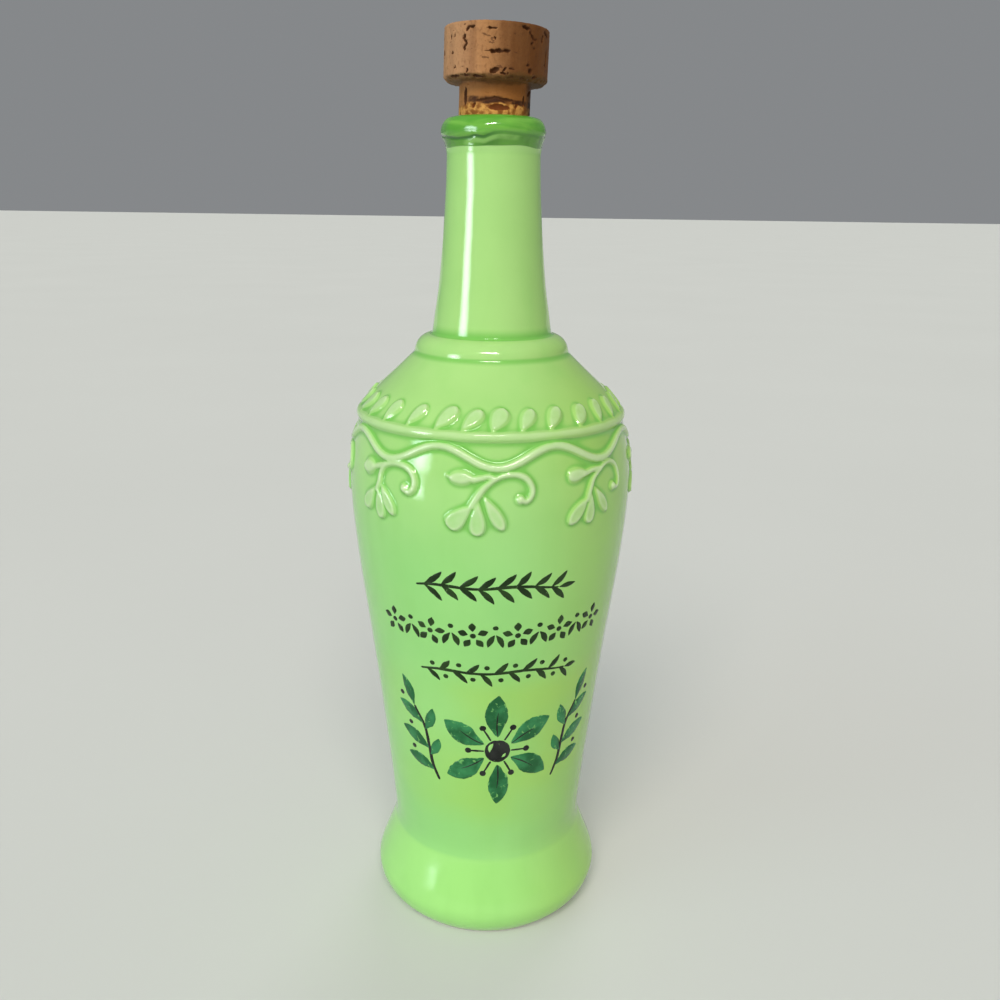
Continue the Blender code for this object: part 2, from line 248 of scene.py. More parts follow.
# Suns: direction, spread in degrees, strength and colour
SUNS = (("key", (0.12, 1.0, -1.0), 40, 2.6, (1.0, 0.97, 0.87)),
        ("side", (0.80, 0.50, -0.31), 48, 0.74, (0.62, 1.0, 1.0)),
        ("fill", (-0.25, -1.0, -0.36), 40, 1.1, (0.97, 0.98, 1.0)))
SURROUNDINGS = (0.79, 0.82, 0.85, 1)
SURROUNDINGS_STRENGTH = 0.30
FLOOR_SIZE = 60

# The camera, as the photograph has it
CAMERA_PLACE = (0.0, -311.35, 239.68)
CAMERA_YAW = math.radians(-0.62)
CAMERA_PITCH = math.radians(16.83)
CAMERA_ROLL = math.radians(0.79)
CAMERA_LENS = 34.63


def smooth_line(stations, steps):
    """Points of a Catmull-Rom curve through the stations, with both ends."""
    points = np.array(stations, float)
    points = np.vstack([2 * points[0] - points[1], points, 2 * points[-1] - points[-2]])
    t = np.arange(steps)[:, None] / steps
    line = [b + 0.5 * (t * (c - a) + t ** 2 * (2 * a - 5 * b + 4 * c - d) + t ** 3 * (3 * b - a - 3 * c + d))
            for a, b, c, d in zip(points, points[1:], points[2:], points[3:])]
    return np.vstack([*line, points[-2:-1]])


def path_lengths(line):
    """How far along a line each of its points is."""
    return np.concatenate([[0], np.cumsum(np.linalg.norm(np.diff(line, axis=0), axis=1))])


def resample(line, places):
    """The points of a line at these distances along it."""
    lengths = path_lengths(line)
    return np.stack([np.interp(places, lengths, line[:, axis]) for axis in range(line.shape[1])], 1)


def smooth_step(low, high, value):
    """0 up to low, 1 from high, and an even slope between."""
    t = np.clip((value - low) / (high - low), 0, 1)
    return t * t * (3 - 2 * t)


def quarter_round(top, base, steps):
    """Points of a quarter of an ellipse, from level at the top to upright at the base."""
    angles = np.linspace(0, math.pi / 2, steps + 1)
    radii = top[0] + (base[0] - top[0]) * np.sin(angles)
    return np.stack([radii, base[1] + (top[1] - base[1]) * np.cos(angles)], 1)


def bead_outline():
    """Points of the half-round bead, whose ends lie on the wall."""
    depth = BEAD_RADIUS - 0.5 * (SHOULDER[-1][0] + BODY[0][0])
    angles = np.radians(np.linspace(*BEAD_TURN, BEAD_POINTS))
    radii = BEAD_RADIUS - depth + depth * np.cos(angles)
    return np.stack([radii, BEAD_HEIGHT + BEAD_HALF * np.sin(angles)], 1)


def blurred(line, sigma, spacing):
    """A line whose points are evenly spaced, softened along its length, with its ends kept."""
    reach = int(3 * sigma / spacing)
    offsets = np.arange(-reach, reach + 1)
    weights = np.exp(-0.5 * (offsets * spacing / sigma) ** 2)
    weights /= weights.sum()
    padded = np.vstack([np.repeat(line[:1], reach, 0), line, np.repeat(line[-1:], reach, 0)])
    return np.stack([np.convolve(padded[:, axis], weights, "valid") for axis in range(2)], 1)


def outline():
    """The bottle's outline from the socket's floor to the middle of the foot, and a softer one beside it."""
    spacing = 0.1
    line = np.vstack([smooth_line(MOUTH, CURVE_STEPS // 2)[:-1], smooth_line(LIP, CURVE_STEPS)[:-1],
                      smooth_line(NECK, CURVE_STEPS), quarter_round(COLLAR_TOP, COLLAR_BASE, CURVE_STEPS),
                      smooth_line(SHOULDER, CURVE_STEPS), bead_outline(),
                      smooth_line(BODY, 2 * CURVE_STEPS)[:-1], smooth_line(FOOT, CURVE_STEPS), [(0.0, 0.0)]])
    line = resample(line, np.arange(0, path_lengths(line)[-1], spacing))
    return blurred(line, CREASE_SOFTNESS, spacing), blurred(line, 4 * CREASE_SOFTNESS, spacing)


PLAIN_WALL = np.vstack([smooth_line(SHOULDER, CURVE_STEPS), smooth_line(BODY, 2 * CURVE_STEPS),
                        smooth_line(FOOT, CURVE_STEPS)])[::-1]


def wall_radius(height):
    """The plain wall's radius at a height, from the collar down to the foot."""
    return np.interp(height, PLAIN_WALL[:, 1], PLAIN_WALL[:, 0])


def wall_point(arc, height, lift=0.0, arc_radius=ARC_RADIUS):
    """Points of the wall, lifted straight out from the axis."""
    turn = np.asarray(arc, float) / arc_radius
    radius = wall_radius(height) + lift
    return np.stack([radius * np.sin(turn), -radius * np.cos(turn), np.broadcast_to(height, turn.shape)], -1)


def wall_normal(arc, height):
    """The unit vector that points straight out of the wall."""
    turn = arc / ARC_RADIUS
    right = np.array([math.cos(turn), math.sin(turn), 0])
    up = wall_point(arc, height + 0.5) - wall_point(arc, height - 0.5)
    normal = np.cross(right, up)
    return normal / np.linalg.norm(normal)


def ridge(points, path, halves, rise):
    """Relief of a stem along a path, as a height at each point; halves are its half widths along the way."""
    height = np.zeros(len(points))
    for start, end, first, last in zip(path, path[1:], halves, halves[1:]):
        along = end - start
        share = np.clip((points - start) @ along / (along @ along), 0, 1)
        gap = np.linalg.norm(points - start - share[:, None] * along, axis=1)
        t = np.clip(gap / (STEM_SKIRT * (first + (last - first) * share)), 0, 1)
        height = np.maximum(height, (1 - t ** 3) ** 2)
    return rise * height


def leaf_relief(points, leaf, rise, rim, dish):
    """Relief of a leaf, whose edge rises over the width of its rim and whose middle is sunk by its dish."""
    base, tip, width, taper, blunt = leaf
    start = wall_point(*base)
    axis = wall_point(*tip) - start
    length = np.linalg.norm(axis)
    normal = wall_normal(0.5 * (base[0] + tip[0]), 0.5 * (base[1] + tip[1]))
    side = np.cross(normal, axis / length)
    share = (points - start) @ axis / length ** 2
    inside = np.clip(share, 0, 1)
    fullest = taper / (taper + blunt)
    half = width / 2 * (inside / fullest) ** taper * ((1 - inside) / (1 - fullest)) ** blunt
    beyond = length * np.maximum(np.maximum(-share, share - 1), 0)
    aside = np.sqrt(((points - start) @ side) ** 2 + LEAF_ROUNDING)
    edge = half + LEAF_MARGIN - np.hypot(aside, beyond)
    domed = 1 - LEAF_DOME * np.clip(aside / (half + 2 * LEAF_MARGIN), 0, 1) ** 2
    sunk = dish * smooth_step(*DISH_FROM_EDGE, edge) * smooth_step(*DISH_ALONG, share)
    return rise * domed * smooth_step(-1.5 * LEAF_MARGIN, rim, edge) - sunk


def joined(heights):
    """Reliefs that run together softly where they meet."""
    return sum(np.maximum(height, 0) ** 4 for height in heights) ** 0.25


def sprig_relief(points, sprig, random, loose):
    """One hanging sprig at the front: a stem that scrolls into a curl, a bud and three leaves."""
    def nudged(spots, by):
        return [(arc + shift[0], height + shift[1])
                for (arc, height), shift in zip(spots, loose * random.normal(0, by, (len(spots), 2)))]

    scroll, bud_stem = (wall_point(*smooth_line(nudged(sprig[name], by), SPRIG_STEPS).T)
                        for name, by in (("scroll", 0.25), ("bud_stem", 0.2)))
    halves = smooth_line(np.array(sprig["halves"])[:, None], SPRIG_STEPS)[:, 0]
    arc, height = sprig["point"]
    point = np.stack([wall_point(arc, height), wall_point(arc + POINT_REACH[0], height - POINT_REACH[1])])
    parts = [ridge(points, scroll, halves, STEM_RISE),
             ridge(points, bud_stem, np.linspace(*BUD_STEM_HALVES, len(bud_stem)), STEM_RISE),
             ridge(points, np.stack([scroll[-1], scroll[-1] + 0.01]), (CURL_END_HALF,) * 2, CURL_END_RISE),
             ridge(points, point, POINT_HALVES, POINT_RISE)]
    leaves = [(sprig["bud"], 0.3, BUD_FORM)] + [(leaf, 0.4, LEAF_FORM) for leaf in sprig["leaves"]]
    for (base, tip, *shape), by, form in leaves:
        parts.append(leaf_relief(points, (*nudged((base, tip), by), *shape), *form))
    return joined(parts)


def vine_relief(points):
    """The wavy stem that runs right round under the bead."""
    low_arc, low_height = VINE_LOW
    waves = np.arange(WAVES * VINE_STEPS + 1) / VINE_STEPS
    heights = low_height + (VINE_HIGH - low_height) / 2 * (1 - np.cos(2 * math.pi * waves))
    path = wall_point(low_arc + WAVE_LENGTH * waves, heights)
    halves = VINE_HALF * (1 + VINE_SWELL * np.sin(2 * math.pi * waves * VINE_SWELLS / WAVES))
    return ridge(points, path, halves, VINE_RISE)


def shoulder_leaves(random):
    """Each shoulder leaf in turn: listed across the front, and evenly spaced round the back."""
    first, last = FRONT_SHOULDER_LEAVES[0][0], FRONT_SHOULDER_LEAVES[-1][0]
    step = (2 * math.pi * ARC_RADIUS + first - last) / (REAR_LEAVES + 1)
    starts = [last + step * number for number in range(1, REAR_LEAVES + 1)]
    rear = [(start, start + REAR_LEAF_LEAN) for start in starts]
    low, high = SHOULDER_LEAF_HEIGHTS
    for start, end in FRONT_SHOULDER_LEAVES + rear:
        sway = random.normal(0, SHOULDER_LEAF_SWAY, 3)
        tip = (end + sway[0] * ((start, end) in rear), high + 0.7 * sway[1])
        yield (start, low), tip, SHOULDER_LEAF_WIDTH + sway[2], *SHOULDER_LEAF_SHAPE


def relief(points, turns):
    """The relief's height at each point of the fine zone."""
    height = np.zeros(len(points))
    random = np.random.default_rng(7)
    level = points[:, 2]
    half_round = math.pi * ARC_RADIUS

    def near(arc, reach, low, high):
        away = (turns * ARC_RADIUS - arc + half_round) % (2 * half_round) - half_round
        return np.nonzero((np.abs(away) < reach) & (level > low) & (level < high))[0]

    chosen = near(0, *VINE_ZONE)
    height[chosen] = vine_relief(points[chosen])
    for number, sprig in enumerate(SPRIGS):
        back = np.array(Matrix.Rotation(-2 * math.pi * number / WAVES, 3, "Z"))
        by_eye = number in (0, 1, WAVES - 1)
        chosen = near(number * WAVE_LENGTH, *SPRIG_ZONE)
        shown = sprig_relief(points[chosen] @ back.T, sprig, random, not by_eye)
        height[chosen] = joined([height[chosen], shown])
    for leaf in shoulder_leaves(random):
        chosen = near(leaf[0][0] + 3, *SHOULDER_ZONE)
        height[chosen] = joined([height[chosen], leaf_relief(points[chosen], leaf, *SHOULDER_LEAF_FORM)])
    return height


def soft_blur(grid, passes):
    """A grid of rows round the bottle, blurred a little more with each pass."""
    for _ in range(passes):
        grid = 0.25 * np.roll(grid, 1, 1) + 0.5 * grid + 0.25 * np.roll(grid, -1, 1)
        padded = np.vstack([grid[:1], grid, grid[-1:]])
        grid = 0.25 * padded[:-2] + 0.5 * grid + 0.25 * padded[2:]
    return grid


def row_places(line):
    """Distances along the outline of the bottle's rows: close where the form is fine."""
    lengths = path_lengths(line)
    places = [0.0]
    while places[-1] < lengths[-1]:
        height = np.interp(places[-1], lengths, line[:, 1])
        places.append(places[-1] + next(step for low, step in ROW_STEPS if height >= low))
    return np.array(places[:-1])


def ring_columns(heights):
    """How many columns each row has: most in the relief zone, with one row of half as many on each side."""
    fine = (heights > RELIEF_ZONE[0]) & (heights < RELIEF_ZONE[1])
    columns = np.where(fine, FINE_COLUMNS, COARSE_COLUMNS)
    edges = np.nonzero(np.diff(fine.astype(int)))[0]
    for edge in edges:
        columns[edge if fine[edge + 1] else edge + 1] = FINE_COLUMNS // 2
    return columns


def band_faces(upper, lower, above, below):
    """The faces between two rows that start at these vertices and have these many columns."""
    if above == below:
        j = np.arange(above)
        k = (j + 1) % above
        return np.stack([upper + j, lower + j, lower + k, upper + k], 1).tolist()
    coarse = min(above, below)
    j = np.arange(coarse)
    k = (j + 1) % coarse
    left, middle, right = 2 * j, 2 * j + 1, (2 * j + 2) % (2 * coarse)
    if above < below:
        fans = [(upper + j, lower + left, lower + middle), (upper + j, lower + middle, upper + k),
                (upper + k, lower + middle, lower + right)]
    else:
        fans = [(upper + left, lower + j, upper + middle), (upper + middle, lower + j, lower + k),
                (upper + middle, lower + k, upper + right)]
    return np.concatenate([np.stack(fan, 1) for fan in fans]).tolist()


def new_piece(name, points, faces, finish, attributes=()):
    """A smooth mesh piece on the body, from points in millimetres."""
    mesh = bpy.data.meshes.new(name)
    mesh.from_pydata((np.asarray(points) * MM).tolist(), [], faces)
    for label, values in attributes:
        mesh.attributes.new(label, "FLOAT", "POINT").data.foreach_set("value", np.asarray(values, np.float32))
    mesh.shade_smooth()
    mesh.materials.append(finish)
    piece = bpy.data.objects.new(name, mesh)
    bpy.context.scene.collection.objects.link(piece)
    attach(piece, "root")
    return piece


def lip_crease(turns):
    """Height of the wavy crease where the lip was rolled over."""
    line = smooth_line([(turn - math.pi, height) for turn, height in LIP_CREASE], 8)
    return np.interp(turns - math.pi, line[:, 0], line[:, 1], period=2 * math.pi)


def lip_unevenness(turns, heights):
    """How far the hand-finished lip stands in or out of round."""
    lumps = sum(size * np.sin(count * turns + start + twist * heights)
                for size, count, start, twist in LIP_LUMPS)
    deep = 0.22 - 0.10 * np.sin(2 * turns)
    fold = deep * np.exp(-((heights - lip_crease(turns)) / LIP_FOLD_WIDTH) ** 2)
    return (lumps - fold) * smooth_step(256.5, 260.5, heights) * (1 - smooth_step(264.8, 266.0, heights))


def outline_normals(line):
    """The unit vector out of the outline at each of its points."""
    tangents = np.gradient(line, axis=0)
    tangents /= np.linalg.norm(tangents, axis=1)[:, None]
    return np.stack([-tangents[:, 1], tangents[:, 0]], 1)


def make_bottle(finish):
    """The glazed bottle: a turned form whose relief is worked into its wall."""
    line, soft = outline()
    lengths = path_lengths(line)
    places = row_places(line)
    rows = resample(line, places)
    normals = outline_normals(line)
    hollow = np.interp(places, lengths, np.sum((soft - line) * normals, 1))
    normals = np.stack([np.interp(places, lengths, normals[:, axis]) for axis in range(2)], 1)
    columns = ring_columns(rows[:, 1])
    fine_rows = np.nonzero(columns == FINE_COLUMNS)[0]
    fine_turns = 2 * math.pi * np.arange(FINE_COLUMNS) / FINE_COLUMNS
    grid = np.stack([np.outer(rows[fine_rows, 0], np.sin(fine_turns)),
                     -np.outer(rows[fine_rows, 0], np.cos(fine_turns)),
                     np.repeat(rows[fine_rows, 1:], FINE_COLUMNS, 1)], -1)
    raised = relief(grid.reshape(-1, 3), np.tile(fine_turns, len(fine_rows))).reshape(grid.shape[:2])
    pooled = soft_blur(raised, POOL_SPREAD) - raised
    points, glaze, thin, crease, starts = [], [], [], [], []
    total = 0
    for number, (radius, height) in enumerate(rows):
        turns = 2 * math.pi * np.arange(columns[number]) / columns[number]
        lift = lip_unevenness(turns, height)
        pool = np.full(len(turns), hollow[number])
        bare = np.zeros(len(turns))
        if columns[number] == FINE_COLUMNS:
            lift = raised[number - fine_rows[0]]
            pool = pool + pooled[number - fine_rows[0]]
            bare = lift
        out = radius + lift * normals[number, 0]
        level = height + lift * normals[number, 1]
        points.append(np.stack([out * np.sin(turns), -out * np.cos(turns), level], 1))
        glaze.append(pool)
        thin.append(bare)
        crease.append(np.clip(height - lip_crease(turns), -CREASE_REACH, CREASE_REACH))
        starts.append(total)
        total += len(turns)
    faces = []
    for number in range(len(rows) - 1):
        faces += band_faces(starts[number], starts[number + 1], columns[number], columns[number + 1])
    faces += end_faces(total, starts[-1], columns[0], columns[-1])
    middles = np.array([(0, 0, rows[0, 1]), (0, 0, 0)])
    values = [("pool", np.concatenate([*glaze, [0, 0]])), ("raised", np.concatenate([*thin, [0, 0]])),
              ("crease", np.concatenate([*crease, [CREASE_REACH, -CREASE_REACH]]))]
    piece = new_piece("bottle_glazed", np.vstack([*points, middles]), faces, finish, values)
    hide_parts("bottle")


def end_faces(total, last_start, first, last):
    """The faces that close the first and last rows, round two middle points that come after all others."""
    return ([(total, j, (j + 1) % first) for j in range(first)]
            + [(total + 1, last_start + (j + 1) % last, last_start + j) for j in range(last)])


def cork_outline():
    """The stopper's outline from the middle of its top to the middle of its end, heights from the mouth."""
    spacing = 0.05
    shank_end = SHANK_RADIUS - SHANK_TAPER
    edge = HEAD_TOP_EDGE
    top_edge = quarter_round((HEAD_RADIUS - edge, HEAD_TOP), (HEAD_RADIUS, HEAD_TOP - edge), CURVE_STEPS // 2)
    line = np.vstack([[(0, HEAD_TOP)], top_edge,
                      [(HEAD_RADIUS, HEAD_BASE + HEAD_EDGE), (HEAD_RADIUS - HEAD_EDGE, HEAD_BASE),
                       (SHANK_RADIUS, HEAD_BASE), (SHANK_RADIUS, 0), (shank_end, HEAD_EDGE - SHANK_DEPTH),
                       (shank_end - HEAD_EDGE, -SHANK_DEPTH), (0, -SHANK_DEPTH)]])
    line = resample(line, np.arange(0, path_lengths(line)[-1], spacing))
    return blurred(line, CORK_SOFTNESS, spacing)


def cork_rows(line):
    """Distances along the stopper's outline of its rows."""
    lengths = path_lengths(line)
    places = [0.1]
    while places[-1] < lengths[-1]:
        radius, height = (np.interp(places[-1], lengths, line[:, axis]) for axis in range(2))
        top = height > HEAD_TOP - 0.05 and radius < HEAD_RADIUS - HEAD_TOP_EDGE
        places.append(places[-1] + (CORK_HIDDEN_ROW if height < -1 else CORK_TOP_ROW if top else CORK_ROW))
    return np.array(places[:-1])


def cork_wear(points, turn):
    """How deep the cork is eaten away at each point, and how dark it is there."""
    radius = np.hypot(points[:, 0], points[:, 1])
    height = points[:, 2]
    seed_set(CORK_SEED)
    rough = uneven(points, 1.1)
    fine = uneven(points, 0.45, 3.0)
    warp = 0.28 * rough[:, :2] + 0.12 * fine[:, :2]
    random = np.random.default_rng(CORK_SEED)
    head_pits = HEAD_PITS + seeded_pits(random, 46, (math.pi * HEAD_RADIUS, 24), (0.25, 0.9), lambda spot: (
        abs(spot[0]) > 17 and HEAD_BASE < spot[1] < HEAD_TOP))
    top_pits = seeded_pits(random, 30, (14, 14), (0.25, 1.0), lambda spot: (
        math.hypot(*spot) < HEAD_RADIUS - 1))
    shank_pits = SHANK_PITS + seeded_pits(random, 16, (math.pi * SHANK_RADIUS, 9), (0.25, 0.8), lambda spot: (
        abs(spot[0]) > 11 and 0.5 < spot[1] < HEAD_BASE - 1))
    over = np.maximum(HEAD_RADIUS - radius, 0) * (height > HEAD_TOP - 1)
    deep = np.zeros(len(points))
    dark = np.zeros(len(points))
    for chosen, chart, pits in (((height > HEAD_BASE - 0.1) & (radius > HEAD_RADIUS - 1.0),
                                 np.stack([turn * HEAD_RADIUS, height + over], 1), head_pits),
                                ((height > HEAD_TOP - 0.3) & (radius < HEAD_RADIUS - 0.8),
                                 points[:, :2], top_pits),
                                ((height < HEAD_BASE - 0.3) & (height > -1),
                                 np.stack([turn * SHANK_RADIUS, height], 1), shank_pits)):
        deep[chosen], dark[chosen] = pit_depths((chart + warp)[chosen], pits)
    rim = np.exp(-((height - HEAD_BASE - 0.4) / 0.7) ** 2) * (radius > HEAD_RADIUS - 2)
    chips = smooth_step(0.12, 0.4, rough[:, 2]) * rim
    level = height > HEAD_TOP - 0.4
    deep += 0.4 * chips + (height > -1) * (0.05 * (level + fine[:, 2]) + 0.06 * (level + rough[:, 1]))
    return deep, np.maximum(dark, 0.55 * chips)


def uneven(points, scale, seed=0.0):
    """Three noise values between -1 and 1 at each point, with features of about this size."""
    shift = Vector((seed, 2.3 * seed, -1.7 * seed))
    return np.array([noise_vector(Vector(point) / scale + shift) for point in points])


def pit_depths(chart, pits):
    """How deep the surface is eaten away at each point of a flat chart, and how dark it is there."""
    deep = np.zeros(len(chart))
    dark = np.zeros(len(chart))
    for across, up, half_across, half_up, tilt, depth in pits:
        away = np.hypot(chart[:, 0] - across, chart[:, 1] - up)
        chosen = np.nonzero(away < 1.6 * max(half_across, half_up))[0]
        gap = chart[chosen] - (across, up)
        cosine, sine = math.cos(math.radians(tilt)), math.sin(math.radians(tilt))
        along = gap[:, 0] * cosine + gap[:, 1] * sine
        aside = gap[:, 1] * cosine - gap[:, 0] * sine
        away = np.hypot(along / half_across, aside / half_up)
        deep[chosen] = np.maximum(deep[chosen], depth * (1 - smooth_step(0.45, 1.1, away)))
        dark[chosen] = np.maximum(dark[chosen], 1 - smooth_step(0.7, 1.35, away))
    return deep, dark


def seeded_pits(random, count, spread, sizes, allowed):
    """Pits strewn over a chart where they are allowed, long ones mostly level."""
    pits = []
    while len(pits) < count:
        spot = random.uniform(-1, 1, 2) * spread
        if allowed(spot):
            long = random.uniform(*sizes) * (2.2 if random.random() < 0.15 else 1)
            pits.append((*spot, long, random.uniform(0.22, 0.5) * min(1.4, 0.5 + long), random.normal(0, 22),
                         random.uniform(0.3, 0.9)))
    return pits


def make_stopper(finish):
    """The cork stopper: a wide pitted head on a stained shank, leaning a little in the mouth."""
    line = cork_outline()
    lengths = path_lengths(line)
    places = cork_rows(line)
    rows = resample(line, places)
    normals = outline_normals(line)
    normals = np.stack([np.interp(places, lengths, normals[:, axis]) for axis in range(2)], 1)
    turns = 2 * math.pi * np.arange(CORK_COLUMNS) / CORK_COLUMNS
    around = np.stack([np.sin(turns), -np.cos(turns)], 1)
    shape = (len(rows), CORK_COLUMNS, 1)
    points, outward = (np.concatenate([flat[:, None, :1] * around, np.broadcast_to(flat[:, None, 1:], shape)],
                                      2).reshape(-1, 3) for flat in (rows, normals))
    deep, dark = cork_wear(points, np.tile((turns + math.pi) % (2 * math.pi) - math.pi, len(rows)))
    points = np.vstack([points - deep[:, None] * outward, (0, 0, rows[0, 1]), (0, 0, -SHANK_DEPTH)])
    points = points @ np.array(Matrix.Rotation(STOPPER_LEAN, 3, "Y")).T + (0, 0, LIP_TOP)
    total = len(rows) * CORK_COLUMNS
    faces = []
    for start in range(0, total - CORK_COLUMNS, CORK_COLUMNS):
        faces += band_faces(start, start + CORK_COLUMNS, CORK_COLUMNS, CORK_COLUMNS)
    faces += end_faces(total, total - CORK_COLUMNS, CORK_COLUMNS, CORK_COLUMNS)
    values = [("pit", np.concatenate([dark, [0, 0]]))]
    piece = new_piece("cork_natural", points, faces, finish, values)
    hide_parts("cork_stopper")


def slab_faces(count, lanes):
    """The faces of a thin slab: count rows of quads on top, the same ones below, and a rim round them."""
    grid = np.arange((count + 1) * lanes).reshape(count + 1, lanes)
    top = np.stack([grid[:-1, :-1], grid[:-1, 1:], grid[1:, 1:], grid[1:, :-1]], -1).reshape(-1, 4)
    rim = np.concatenate([grid[:-1, 0], grid[-1, :-1], grid[:0:-1, -1], grid[0, :0:-1]])
    after = np.roll(rim, -1)
    return np.concatenate([top, grid.size + top[:, ::-1],
                           np.stack([rim, after, grid.size + after, grid.size + rim], 1)])


def brush_mark(path, halves, lift, number, blunt=0.5):
    """One closed, thin mark of paint on the wall: its points, its faces, and places along and across it."""
    line = smooth_line(path, 8)
    length = path_lengths(line)[-1]
    count = max(10, int(length / MARK_STEP))
    shares = np.linspace(0, 1, count + 1)
    if length < SHORT_MARK:
        shares = 0.5 - 0.5 * np.cos(math.pi * shares)
    wide = np.interp(shares, np.linspace(0, 1, len(halves)), halves)
    line = resample(line, shares * length)
    ends = np.clip(np.minimum(shares, 1 - shares) * length / np.maximum(wide, 0.3), 0, 1)
    wide = wide * ends ** blunt + HAIR
    along = np.gradient(line, axis=0)
    along /= np.linalg.norm(along, axis=1)[:, None]
    aside = np.stack([-along[:, 1], along[:, 0]], 1)
    lanes = int(np.clip(2 * round(wide.max()), 4, 12)) + 1
    across = np.linspace(-1, 1, lanes)
    random = np.random.default_rng(number)
    knots = len(np.arange(0, length + 3 * SHAKE_GAP, SHAKE_GAP))
    shake = [np.interp(shares * length, np.arange(5 * knots - 4) * SHAKE_GAP / 5,
                       smooth_line(random.normal(0, 1, (knots, 1)), 5)[:, 0]) for _ in range(2)]
    sway = np.where(across[None] < 0, -shake[0][:, None], shake[1][:, None]) * across[None] ** 2
    offset = across[None] * wide[:, None] + ((SHAKE[0] + SHAKE[1] * wide) * ends)[:, None] * sway
    spots = line[:, None] + aside[:, None] * offset[..., None]
    raised = np.broadcast_to((lift + HAIR) * (1 - np.abs(across) ** 6) - HAIR, spots.shape[:2]).copy()
    raised[[0, -1]] = -HAIR
    upper, lower = (wall_point(spots[..., 0], spots[..., 1], level, PAINT_RADIUS).reshape(-1, 3)
                    for level in (raised, -PAINT_DEPTH))
    span = np.tile(np.repeat(shares, lanes), 2)
    side = np.tile(np.tile(across, count + 1), 2)
    return np.vstack([upper, lower]), slab_faces(count, lanes), span, side


def painted(name, marks, finish, above=0.0):
    """The marks of one colour of one part of the ornament, as a piece, at slightly different heights."""
    points, faces, spans, sides = [], [], [], []
    total = 0
    for number, (path, halves, *blunt) in enumerate(marks):
        lift = PAINT_LIFT + above + PAINT_LAYER * (number % 12)
        spots, sheets, span, side = brush_mark(path, halves, lift, number, *blunt)
        points.append(spots)
        faces += (sheets + total).tolist()
        spans.append(span)
        sides.append(side)
        total += len(spots)
    new_piece(name, np.vstack(points), faces, finish,
              [("along", np.concatenate(spans)), ("across", np.concatenate(sides))])


def node_adder(tree):
    """A function that adds a node to a tree, with settings, and with values or links for its inputs."""
    def add(kind, settings=(), **inputs):
        node = tree.nodes.new(kind)
        for key, value in dict(settings).items():
            setattr(node, key, value)
        for key, value in inputs.items():
            spot = node.inputs[int(key[1:]) if key[1:].isdigit() else key.replace("_", " ")]
            if isinstance(value, bpy.types.NodeSocket):
                tree.links.new(value, spot)
            else:
                spot.default_value = value
        return node

    return add


def material(name, roughness, specular=0.5):
    """A material, a function that adds nodes, one that wires them to its shader, and its places."""
    finish = bpy.data.materials.new(name)
    finish.use_nodes = True
    tree = finish.node_tree
    shader = tree.nodes["Principled BSDF"]
    shader.inputs["Roughness"].default_value = roughness
    shader.inputs["Specular IOR Level"].default_value = specular
    add = node_adder(tree)

    def wire(value, name):
        tree.links.new(value, shader.inputs[name])

    return finish, add, wire, add("ShaderNodeTexCoord").outputs["Object"]


def attribute(add, name):
    """A value that the mesh holds at each of its points."""
    return add("ShaderNodeAttribute", {"attribute_name": name}).outputs["Fac"]


def noise(add, place, scale, detail=3.0, stretch=(1, 1, 1), distortion=0.0):
    """A noise value over the piece, with features of about 1 / scale metres."""
    mapped = add("ShaderNodeMapping", Vector=place, Scale=stretch).outputs[0]
    return add("ShaderNodeTexNoise", Vector=mapped, Scale=scale, Detail=detail,
               Distortion=distortion).outputs["Fac"]


def ranged(add, value, low, high, to_low=0.0, to_high=1.0):
    """A value carried from one range to another, and held at its ends."""
    return add("ShaderNodeMapRange", {"interpolation_type": "SMOOTHSTEP"}, Value=value, From_Min=low,
               From_Max=high, To_Min=to_low, To_Max=to_high).outputs[0]


def times(add, first, *others):
    """The product of some values."""
    for other in others:
        first = add("ShaderNodeMath", {"operation": "MULTIPLY"}, _0=first, _1=other).outputs[0]
    return first


def swung(add, value, amount):
    """A noise value moved to either side of zero, times an amount."""
    return times(add, plus(add, value, -0.5), amount)


def band(add, value, rise, fall):
    """1 between two heights of a value: it rises over one range and falls over the other."""
    return times(add, ranged(add, value, *rise), ranged(add, value, *fall))


def layered(add, under, over, value, low, high, most=1.0):
    """A colour with another laid over it, from not at all where a value is low to most where it is high."""
    return mixed(add, ranged(add, value, low, high, 0.0, most), under, over)


def plus(add, first, second):
    """The sum of two values."""
    return add("ShaderNodeMath", {"operation": "ADD"}, _0=first, _1=second).outputs[0]


def mixed(add, share, first, second):
    """A colour between two."""
    node = add("ShaderNodeMix", {"data_type": "RGBA"}, _0=share)
    for spot, value in ((node.inputs[6], first), (node.inputs[7], second)):
        if isinstance(value, bpy.types.NodeSocket):
            node.id_data.links.new(value, spot)
        else:
            spot.default_value = (*value, 1)
    return node.outputs[2]


def bumped(add, height, distance, **normal):
    """A normal that follows a height value, in metres at its fullest, on top of another if one is given."""
    return add("ShaderNodeBump", Height=height, Distance=distance, **normal).outputs[0]


